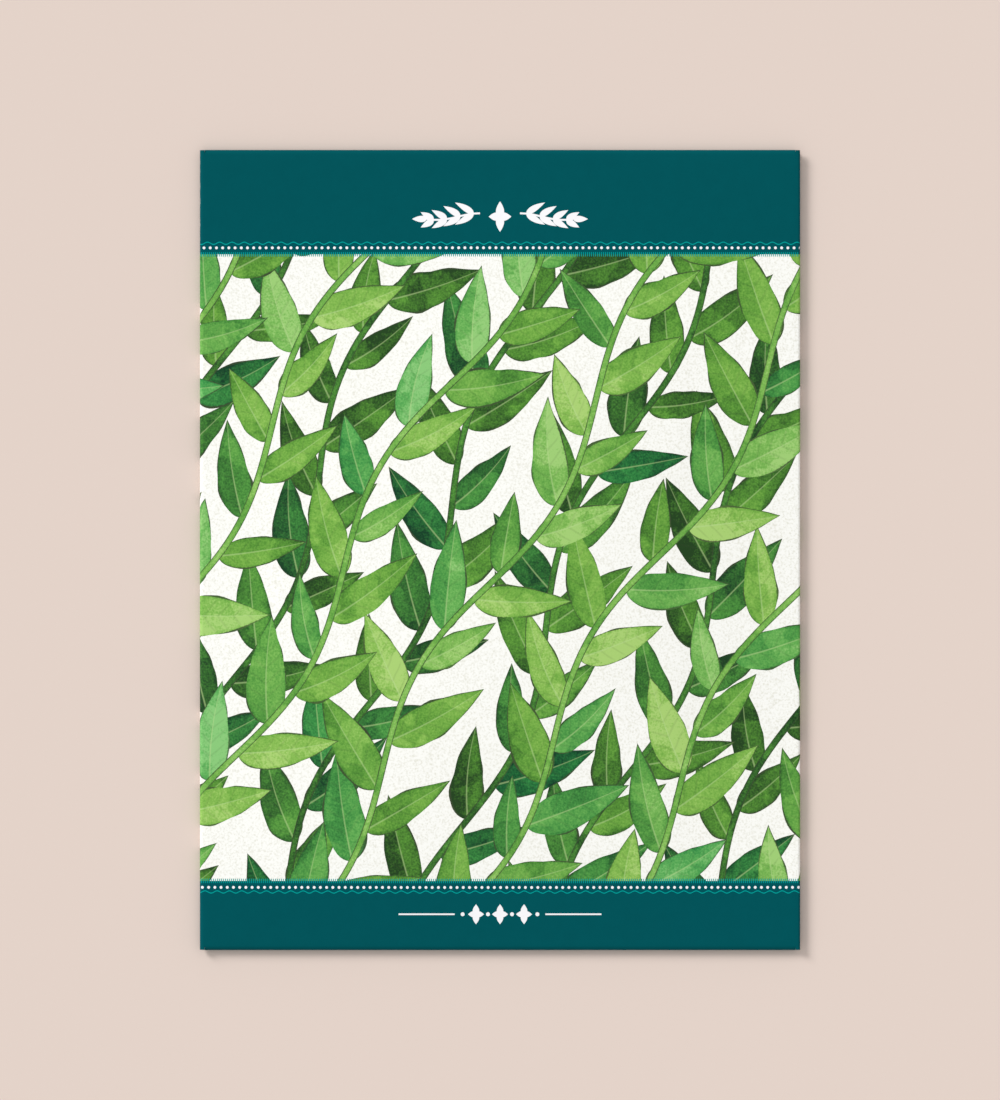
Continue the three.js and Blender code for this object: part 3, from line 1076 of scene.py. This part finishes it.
def flat_ink(name, ink, paper):
    """A solid ink, a little uneven, worn thin along the folds."""
    finish = Finish(name, PAPER_SHINE)
    at = finish.place()
    tooth = paper_tooth(finish, at, depth=0.008)
    cloud = finish.noise(at, per_mm=0.5, detail=4.0)
    cloud_share, tooth_share = 0.6, 0.4
    amount = finish.smooth(cloud * cloud_share + tooth * tooth_share, low=0.3, high=0.7)
    solid = finish.mix(amount, shaded(ink, by=0.97), shaded(ink, by=1.02))
    finish.shows("Base Color", worn(finish, at, solid, paper))
    return finish.material


def bare_paper(colours):
    """Unprinted paper: warm white, with a felt of fine fibres."""
    finish = Finish("bare_paper", {"Roughness": 0.9, "Specular IOR Level": 0.1})
    fibre = finish.noise(finish.place(), per_mm=1.4, detail=6.0)
    amount = finish.smooth(fibre, low=0.35, high=0.75)
    finish.shows("Base Color", finish.mix(amount, colours.bare, shaded(colours.bare, by=0.86)))
    finish.bump(fibre, depth=0.02)
    return finish.material


def leaf_wash(colours):
    """Watercolour leaves: pooled, granulated greens with a pale midrib and a drawn outline."""
    finish = Finish("leaf_wash", PAPER_SHINE)
    along, side, tone = finish.separate(finish.attribute("leaf_place"))
    half_width, cool, veined = finish.separate(finish.attribute("leaf_form"))
    at = finish.place()
    tooth = paper_tooth(finish, at, depth=0.012)
    grain = finish.noise(at, per_mm=3.6, detail=3.0, variant=5.0)
    flow = finish.noise(at, per_mm=0.22, variant=tone * FLOW_SPREAD)
    coat = finish.noise(at, per_mm=0.16, detail=3.0, variant=tone * COAT_SPREAD + 9)
    tooth_swing = tooth - NOISE_MIDDLE
    grain_swing = grain - NOISE_MIDDLE
    from_rim = (leaf_profile(along) - abs(side)) * half_width
    from_midrib = side * half_width

    glaze = finish.smooth(coat, low=0.5, high=0.54)
    far_half = finish.smooth(from_midrib + tooth_swing * MIDRIB_RAG, low=-0.06, high=0.06) * veined
    settled = 1 - finish.smooth(from_rim, low=0.1, high=0.7)
    depth = (
        tone * TONE_SHARE - TONE_SHIFT
        + flow * FLOW_SHARE
        - glaze * GLAZE_SHARE
        - far_half * FAR_HALF_SHARE
        - settled * SETTLED_SHARE
        + grain_swing * GRAIN_SHARE
        + tooth_swing * TOOTH_SHARE
    )
    wash = finish.mix(cool, finish.ramp(depth, WARM_GREENS), finish.ramp(depth, COOL_GREENS))

    vein_turn = along * VEIN_COUNT - abs(side) * VEIN_LEAN + flow * VEIN_WAVER
    on_vein = 1 - finish.smooth(vein_turn.math("PINGPONG", 0.5), low=0.02, high=0.14)
    inside = finish.smooth(from_rim, low=0.2, high=0.9)
    with_veins = finish.mix(on_vein * inside * veined * VEIN_SHARE, wash, colours.outline)
    on_midrib = 1 - finish.smooth(abs(from_midrib) + along * 0.1, low=0.06, high=0.2)
    with_midrib = finish.mix(on_midrib * veined * MIDRIB_SHARE, with_veins, colours.midrib)
    on_line = 1 - finish.smooth(from_rim + grain_swing * LINE_RAG, low=0.05, high=0.2)
    drawn = finish.mix(on_line * (flow * LINE_FLOW + LINE_SHARE), with_midrib, colours.outline)
    finish.shows("Base Color", worn(finish, at, drawn, colours.bare))
    return finish.material


def speckled(name, base, constants, per_mm, spread, depth):
    """A finish whose colour, roughness and height vary by one noise."""
    finish = Finish(name, constants)
    grain = finish.noise(finish.place(), per_mm, detail=4.0)
    amount = finish.smooth(grain, low=0.3, high=0.7)
    finish.shows("Base Color", finish.mix(amount, shaded(base, by=1 - spread), base))
    least_rough, rough_range = 0.25, 0.4
    finish.shows("Roughness", least_rough + grain * rough_range)
    finish.bump(grain, depth)
    return finish.material


def finished(piece, slot, *nodes):
    """Sets a piece on the packet: what it rides on, and the nodes it stands for, which it hides. The slot is
    not used.
    """
    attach(piece, BODY)
    if nodes:
        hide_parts(*nodes)


def new_piece(name, mesh):
    piece = bpy.data.objects.new(name, mesh)
    bpy.context.scene.collection.objects.link(piece)
    return piece


def grown_piece(name, build, inputs):
    """Makes a piece by a Geometry Nodes tree with named inputs, and keeps the result as a plain mesh."""
    tree = bpy.data.node_groups.new(name, "GeometryNodeTree")
    graph = Graph(tree)
    tree.interface.new_socket("Geometry", in_out="OUTPUT", socket_type="NodeSocketGeometry")
    items = {
        label: tree.interface.new_socket(label, in_out="INPUT", socket_type=kind)
        for label, (kind, _) in inputs.items()
    }
    entry = tree.nodes.new("NodeGroupInput")
    result = build(graph, {label: Socket(graph, entry.outputs[label]) for label in inputs})
    graph.feed(tree.nodes.new("NodeGroupOutput").inputs["Geometry"], result)
    piece = new_piece(name, bpy.data.meshes.new(name))
    modifier = piece.modifiers.new(name, "NODES")
    modifier.node_group = tree
    for label, (_, value) in inputs.items():
        modifier[items[label].identifier] = value
    depsgraph = bpy.context.evaluated_depsgraph_get()
    mesh = bpy.data.meshes.new_from_object(piece.evaluated_get(depsgraph), depsgraph=depsgraph)
    piece.modifiers.remove(modifier)
    piece.data = mesh
    return piece


NUMBER = "NodeSocketFloat"
COUNT = "NodeSocketInt"
THING = "NodeSocketObject"
MATERIAL = "NodeSocketMaterial"


def laid_on(graph, geometry, inputs):
    """Drops each point straight down onto the sheet, and sets its own height off the sheet's face.

    The steeper the sheet, the further off, so that a mark's flat facets clear the fold that it bends over.
    """
    high_above = 50 * MM
    least_slope = 0.25
    x, y, z = graph.separate(graph.node("GeometryNodeInputPosition"))
    within = x.math("MINIMUM", inputs["Reach"]).math("MAXIMUM", inputs["Reach"] * -1)
    ground = graph.node("GeometryNodeObjectInfo", None, {"Object": inputs["Sheet"]}, "Geometry")
    hit = graph.node(
        "GeometryNodeRaycast",
        None,
        {
            "Target Geometry": ground,
            "Source Position": graph.combine(within, y, high_above),
            "Ray Direction": (0, 0, -1),
            "Ray Length": 2 * high_above,
        },
        "Hit Position",
    )
    facing = Socket(graph, hit.socket.node.outputs["Hit Normal"])
    steepness = graph.separate(facing)[2].math("MAXIMUM", least_slope) ** 2
    lift = graph.node("ShaderNodeVectorMath", {"operation": "SCALE"}, {0: facing, "Scale": z / steepness})
    place = graph.node("ShaderNodeVectorMath", {"operation": "ADD"}, {0: hit, 1: lift})
    return graph.node("GeometryNodeSetPosition", None, {"Geometry": geometry, "Position": place})


def printed_on(graph, inputs, parts):
    """Realizes the parts, lays them on the sheet and inks them."""
    joined = graph.node("GeometryNodeJoinGeometry", None, {"Geometry": parts})
    real = graph.node("GeometryNodeRealizeInstances", None, {"Geometry": joined})
    laid = laid_on(graph, real, inputs)
    return graph.node("GeometryNodeSetMaterial", None, {"Geometry": laid, "Material": inputs["Ink"]})


def mark_rows(graph, inputs, mark):
    """Two straight rows of one mark, each from its own start."""
    rows = []
    for row in ("Top", "Bottom"):
        points = graph.node(
            "GeometryNodeMeshLine",
            {"mode": "OFFSET"},
            {
                "Count": inputs["Count"],
                "Start Location": graph.combine(inputs[row + " start"], inputs[row + " row"], 0),
                "Offset": graph.combine(inputs["Pitch"], 0, 0),
            },
        )
        rows.append(graph.node("GeometryNodeInstanceOnPoints", None, {"Points": points, "Instance": mark}))
    return printed_on(graph, inputs, rows)


def dot_rows(graph, inputs):
    """Two rows of round dots, each filled by rings so that it can bend over a fold."""
    return mark_rows(graph, inputs, graph.node(
        "GeometryNodeMeshCylinder",
        None,
        {
            "Vertices": inputs["Sides"],
            "Fill Segments": inputs["Rings"],
            "Radius": inputs["Size"] / 2,
            "Depth": inputs["Ink depth"],
        },
    ))


def tick_rows(graph, inputs):
    """Two rows of short upright ticks."""
    size = graph.combine(inputs["Size"], inputs["Length"], inputs["Ink depth"])
    return mark_rows(graph, inputs, graph.node("GeometryNodeMeshCube", None, {"Size": size}))


def wave_rows(graph, inputs):
    """Two fine lines that swing up and down."""
    size = graph.combine(inputs["Reach"] * 2, inputs["Size"], inputs["Ink depth"])
    line = graph.node("GeometryNodeMeshCube", None, {"Size": size, "Vertices X": inputs["Count"]})
    x = graph.separate(graph.node("GeometryNodeInputPosition"))[0]
    rows = []
    for row in ("Top", "Bottom"):
        turn_here = (x - inputs[row + " start"]) * (2 * math.pi) / inputs["Pitch"]
        offset = graph.combine(0, turn_here.math("SINE") * inputs["Height"] + inputs[row + " row"], 0)
        rows.append(graph.node("GeometryNodeSetPosition", None, {"Geometry": line, "Offset": offset}))
    return printed_on(graph, inputs, rows)


def seed_scatter(graph, inputs):
    """Seeds spread over an oval, each turned its own way and a little tilted."""
    tilt = 0.2
    knob_scale = 1.6
    knob_height = 0.3
    least_girth = 0.82
    oval = graph.node("GeometryNodeMeshCircle", {"fill_type": "NGON"}, {"Vertices": 48, "Radius": 1})
    heap = graph.node(
        "GeometryNodeTransform",
        None,
        {"Geometry": oval, "Translation": inputs["Centre"], "Scale": inputs["Heap"]},
    )
    points = graph.node(
        "GeometryNodeDistributePointsOnFaces",
        {"distribute_method": "POISSON"},
        {
            "Mesh": heap,
            "Distance Min": inputs["Spacing"],
            "Density Max": inputs["Density"],
            "Seed": inputs["Draw"],
        },
    )
    seed = graph.node("GeometryNodeMeshIcoSphere", None, {"Radius": 1, "Subdivisions": 3})
    knobs = graph.node("ShaderNodeTexNoise", None, {"Scale": knob_scale, "Detail": 3})
    swell = knobs * knob_height + least_girth
    shape = graph.node(
        "ShaderNodeVectorMath",
        {"operation": "SCALE"},
        {0: graph.node("GeometryNodeInputPosition"), "Scale": swell},
    )
    bumpy = graph.node("GeometryNodeSetPosition", None, {"Geometry": seed, "Position": shape})
    facing = graph.node(
        "FunctionNodeRandomValue",
        {"data_type": "FLOAT_VECTOR"},
        {0: (-tilt, -tilt, 0), 1: (tilt, tilt, 2 * math.pi), "Seed": inputs["Draw"]},
    )
    placed = graph.node(
        "GeometryNodeInstanceOnPoints",
        None,
        {"Points": points, "Instance": bumpy, "Rotation": facing, "Scale": inputs["Seed size"]},
    )
    real = graph.node("GeometryNodeRealizeInstances", None, {"Geometry": placed})
    return graph.node("GeometryNodeSetMaterial", None, {"Geometry": real, "Material": inputs["Coat"]})


def film_lines(low, high, sizes):
    """Places of a film's grid lines: close over the ribbed borders, wider between."""
    lines_per_rib = 8
    fine = sizes.rib_pitch / lines_per_rib
    border = round(sizes.seal / fine)
    inner = round((high - low - 2 * sizes.seal) / sizes.film_step)
    left = [low + fine * step for step in range(border)]
    middle = [
        low + sizes.seal + (high - low - 2 * sizes.seal) * step / inner for step in range(inner + 1)
    ]
    right = [high - fine * step for step in reversed(range(border))]
    return left + middle + right


def sachet_film(name, node, lift, sizes):
    """One film as a closed thin sheet: ribbed where it is sealed, and raised by lift over the seeds."""
    low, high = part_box(node)
    columns = film_lines(low.x, high.x, sizes)
    rows = film_lines(low.y, high.y, sizes)
    middle = (low + high) / 2
    half = (high - low) / 2
    under = []
    for y in rows:
        for x in columns:
            across = (x - middle.x) / (half.x - sizes.seal)
            up = (y - middle.y) / (half.y - sizes.seal)
            room = max(0.0, 1 - across * across) * max(0.0, 1 - up * up)
            inset = min(half.x - abs(x - middle.x), half.y - abs(y - middle.y))
            rib = math.sin(2 * math.pi * inset / sizes.rib_pitch) if inset < sizes.seal else 0.0
            rise = sizes.rib_height * rib
            if lift:
                crumple = noise.noise(Vector((x, y, lift)) / sizes.crumple_length) * math.sqrt(room)
                rise += lift * room ** sizes.pocket_power + sizes.crumple * crumple
            under.append(Vector((x, y, low.z + rise)))
    upper = [point + Vector((0, 0, sizes.film)) for point in under]
    width = len(columns)
    last = len(rows) - 1
    grid = [
        (corner, corner + 1, corner + width + 1, corner + width)
        for row in range(last)
        for corner in range(row * width, row * width + width - 1)
    ]
    below = len(upper)
    bottom = [tuple(corner + below for corner in reversed(face)) for face in grid]
    loop = [
        *range(width),
        *[row * width + width - 1 for row in range(1, last + 1)],
        *[last * width + column for column in reversed(range(width - 1))],
        *[row * width for row in reversed(range(1, last))],
    ]
    rim = [(b, a, a + below, b + below) for a, b in zip(loop, loop[1:] + loop[:1])]
    mesh = bpy.data.meshes.new(name)
    mesh.from_pydata(upper + under, [], grid + bottom + rim)
    mesh.polygons.foreach_set("use_smooth", [True] * (len(grid) * 2) + [False] * len(rim))
    return new_piece(name, mesh)


class SEEDPACKET_OT_envelope(bpy.types.Operator):
    """Prints, cuts and folds the envelope's sheet"""

    bl_idname = "seed_packet.envelope"
    bl_label = "Fold the envelope"

    def execute(self, context):
        scene = context.scene
        printed, colours = scene.packet_print, scene.packet_inks
        sheet = FoldedSheet(scene.packet_sheet)
        header_edge = sheet.top - printed.header
        footer_edge = printed.footer - sheet.top
        panel = Vector((sheet.back_start, footer_edge)), Vector((sheet.tab_start, header_edge))
        front = Vector((sheet.left, -sheet.end)), Vector((sheet.right, sheet.end))
        back = Vector((sheet.back_free, footer_edge)), Vector((sheet.back_start, header_edge))
        header_middle = Vector((0, header_edge + printed.header * printed.header_place))
        footer_middle = Vector((0, footer_edge - printed.footer * printed.footer_place))
        back_middle = Vector((sheet.left + sheet.back_start, printed.back_top))
        notes_top = back_middle - Vector((0, printed.note_start))
        shapes = [
            *kept_to(panel, leafy_picture(printed, panel)),
            *kept_to(front, leaf_flourish(header_middle, printed.header_unit, WHITE)),
            *kept_to(front, lined_flourish(footer_middle, printed.footer_unit, WHITE)),
            *kept_to(back, leaf_flourish(back_middle, printed.back_unit, LEAF)),
            *kept_to(back, note_lines(printed, notes_top)),
        ]
        lines = [
            [(sheet.back_free, edge), (sheet.tab_free, edge)] for edge in (header_edge, footer_edge)
        ]
        mesh = EnvelopeMesh(sheet, footer_edge, header_edge).build(*flat_plan(sheet, lines, shapes))
        for material in (
            panel_paper(colours),
            flat_ink("band_ink", colours.band, colours.bare),
            leaf_wash(colours),
            flat_ink("white_ink", colours.white, colours.bare),
            bare_paper(colours),
        ):
            mesh.materials.append(material)
        finished(new_piece("paper_envelope", mesh), "printed_paper", "envelope")
        return {"FINISHED"}


class SEEDPACKET_OT_border(bpy.types.Operator):
    """Prints the border's dots, fringes and wave lines along the bands"""

    bl_idname = "seed_packet.border"
    bl_label = "Print the border"

    def execute(self, context):
        scene = context.scene
        printed, colours = scene.packet_print, scene.packet_inks
        low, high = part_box("envelope")
        edge_clearance = 0.1 * MM
        dot_count = math.ceil((high.x - low.x) / printed.dot_pitch)
        tick_count = int((high.x - low.x) / printed.tick_pitch)
        points_per_wave = 14
        wave_points = int((high.x - low.x) / printed.wave_pitch * points_per_wave)
        white = bpy.data.materials["white_ink"]
        trim = flat_ink("trim_ink", colours.trim, colours.bare)

        def inputs(ink, count, pitch, size, inset, start, shift, **more):
            return {
                "Sheet": (THING, bpy.data.objects["paper_envelope"]),
                "Reach": (NUMBER, high.x - edge_clearance),
                "Ink": (MATERIAL, ink),
                "Ink depth": (NUMBER, 2 * printed.ink),
                "Count": (COUNT, count),
                "Pitch": (NUMBER, pitch),
                "Size": (NUMBER, size),
                "Top row": (NUMBER, high.y - printed.header + inset),
                "Bottom row": (NUMBER, low.y + printed.footer - inset),
                "Top start": (NUMBER, low.x + start),
                "Bottom start": (NUMBER, low.x + start - shift),
                **more,
            }

        pieces = [
            grown_piece("border_dots", dot_rows, inputs(
                white, dot_count, printed.dot_pitch, printed.dot_size, printed.dot_inset,
                printed.dot_start, printed.dot_shift, Sides=(COUNT, 12), Rings=(COUNT, 2),
            )),
            grown_piece("border_fringe", tick_rows, inputs(
                trim, tick_count, printed.tick_pitch, printed.tick_width, 0,
                printed.tick_start, 0, Length=(NUMBER, printed.tick_length),
            )),
            grown_piece("border_waves", wave_rows, inputs(
                trim, wave_points, printed.wave_pitch, printed.wave_line, printed.wave_inset,
                printed.wave_start, printed.wave_shift, Height=(NUMBER, printed.wave_height),
            )),
        ]
        for piece in pieces:
            finished(piece, "printed_paper")
        return {"FINISHED"}


class SEEDPACKET_OT_glue(bpy.types.Operator):
    """Gives the glue under the flaps and along the side seam its finish"""

    bl_idname = "seed_packet.glue"
    bl_label = "Finish the glue"

    def execute(self, context):
        scene = context.scene
        shine = {"Specular IOR Level": 0.4}
        glue = speckled("dried_glue", scene.packet_inks.glue, shine, per_mm=0.8, spread=0.2, depth=0.02)
        for node in ("flap_glue", "bottom_tab_glue", "side_seam_glue"):
            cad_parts[node].material_slots[0].material = glue
        return {"FINISHED"}


class SEEDPACKET_OT_sachet(bpy.types.Operator):
    """Presses the two films of the sachet"""

    bl_idname = "seed_packet.sachet"
    bl_label = "Press the sachet"

    def execute(self, context):
        scene = context.scene
        sizes = scene.packet_sachet
        base = scene.packet_inks.film
        film = speckled("sachet_film", base, {"Metallic": 0.7}, per_mm=0.4, spread=0.12, depth=0.03)
        for name, node, lift in [
            ("sachet_back", "sachet_back_film", 0.0),
            ("sachet_front", "sachet_front_film", sizes.pocket_rise),
        ]:
            piece = sachet_film(name, node, lift, sizes)
            piece.data.materials.append(film)
            finished(piece, "sachet_film", node)
        return {"FINISHED"}


class SEEDPACKET_OT_seeds(bpy.types.Operator):
    """Scatters the seeds in the sachet"""

    bl_idname = "seed_packet.seeds"
    bl_label = "Scatter the seeds"

    def execute(self, context):
        scene = context.scene
        sizes = scene.packet_sachet
        low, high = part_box("seeds")
        seed = Vector((sizes.seed_length, sizes.seed_width, sizes.seed_depth)) / 2
        heap = (high - low) / 2 - Vector((seed.x, seed.x, 0))
        shine = {"Specular IOR Level": 0.3}
        coat = speckled("seed_coat", scene.packet_inks.seed, shine, per_mm=6.0, spread=0.55, depth=0.03)
        piece = grown_piece("seed_heap", seed_scatter, {
            "Coat": (MATERIAL, coat),
            "Centre": ("NodeSocketVector", (low + high) / 2),
            "Heap": ("NodeSocketVector", Vector((heap.x, heap.y, 1))),
            "Seed size": ("NodeSocketVector", seed),
            "Spacing": (NUMBER, sizes.seed_spacing),
            "Density": (NUMBER, 1e7),
            "Draw": (COUNT, 7),
        })
        finished(piece, "seed", "seeds")
        return {"FINISHED"}


class SEEDPACKET_OT_studio(bpy.types.Operator):
    """Sets the floor, the lights and the camera"""

    bl_idname = "seed_packet.studio"
    bl_label = "Set the studio"

    def execute(self, context):
        scene = context.scene
        setup = scene.packet_studio
        self.lay_floor(setup, CAD_BOX[0].z)
        self.hang_sun(scene, setup)
        world = bpy.data.worlds.new("studio")
        world.use_nodes = True
        world.node_tree.nodes["Background"].inputs["Color"].default_value = (1, 1, 1, 1)
        world.node_tree.nodes["Background"].inputs["Strength"].default_value = setup.sky
        scene.world = world
        scene.view_settings.view_transform = "Standard"
        data = bpy.data.cameras.new("front_camera")
        data.lens = setup.lens
        camera = bpy.data.objects.new("front_camera", data)
        front_edge = FoldedSheet(scene.packet_sheet).front_top
        camera.location = (0, 0, front_edge + setup.frame_height * setup.lens / data.sensor_width)
        scene.collection.objects.link(camera)
        scene.camera = camera
        return {"FINISHED"}

    def hang_sun(self, scene, setup):
        data = bpy.data.lights.new("key_light", "SUN")
        data.energy = setup.key
        data.angle = setup.key_spread
        sun = bpy.data.objects.new("key_light", data)
        across = math.cos(setup.key_height)
        sunward = Vector((
            across * math.cos(setup.key_side), across * math.sin(setup.key_side), math.sin(setup.key_height)
        ))
        sun.rotation_mode = "QUATERNION"
        sun.rotation_quaternion = sunward.to_track_quat("Z", "Y")
        scene.collection.objects.link(sun)

    def lay_floor(self, setup, height):
        finish = Finish("floor", {"Roughness": 0.9, "Specular IOR Level": 0.1})
        finish.shows("Base Color", (*setup.floor, 1))
        reach = 3.0
        mesh = bpy.data.meshes.new("floor")
        corners = [(-reach, -reach), (reach, -reach), (reach, reach), (-reach, reach)]
        mesh.from_pydata([(x, y, height) for x, y in corners], [], [(0, 1, 2, 3)])
        mesh.materials.append(finish.material)
        new_piece("floor", mesh)


class SEEDPACKET_PT_tools(bpy.types.Panel):
    """Lists the packet's pieces in the order they are made"""

    bl_label = "Seed Packet"
    bl_idname = "SEEDPACKET_PT_tools"
    bl_space_type = "VIEW_3D"
    bl_region_type = "UI"
    bl_category = "Seed Packet"

    def draw(self, context):
        for operator in OPERATORS:
            self.layout.operator(operator.bl_idname)


SETTINGS = {
    "packet_sheet": SheetSizes,
    "packet_print": PrintSizes,
    "packet_inks": InkColours,
    "packet_sachet": SachetSizes,
    "packet_studio": StudioSetup,
}
OPERATORS = (
    SEEDPACKET_OT_studio,
    SEEDPACKET_OT_envelope,
    SEEDPACKET_OT_border,
    SEEDPACKET_OT_glue,
    SEEDPACKET_OT_sachet,
    SEEDPACKET_OT_seeds,
)
CLASSES = (*SETTINGS.values(), *OPERATORS, SEEDPACKET_PT_tools)


def register():
    for each in CLASSES:
        bpy.utils.register_class(each)
    for name, group in SETTINGS.items():
        setattr(bpy.types.Scene, name, PointerProperty(type=group))


def unregister():
    for name in SETTINGS:
        delattr(bpy.types.Scene, name)
    for each in reversed(CLASSES):
        bpy.utils.unregister_class(each)


def main():
    register()
    bpy.ops.seed_packet.studio()
    bpy.ops.seed_packet.envelope()
    bpy.ops.seed_packet.border()
    bpy.ops.seed_packet.glue()
    bpy.ops.seed_packet.sachet()
    bpy.ops.seed_packet.seeds()


if __name__ == "__main__":
    main()
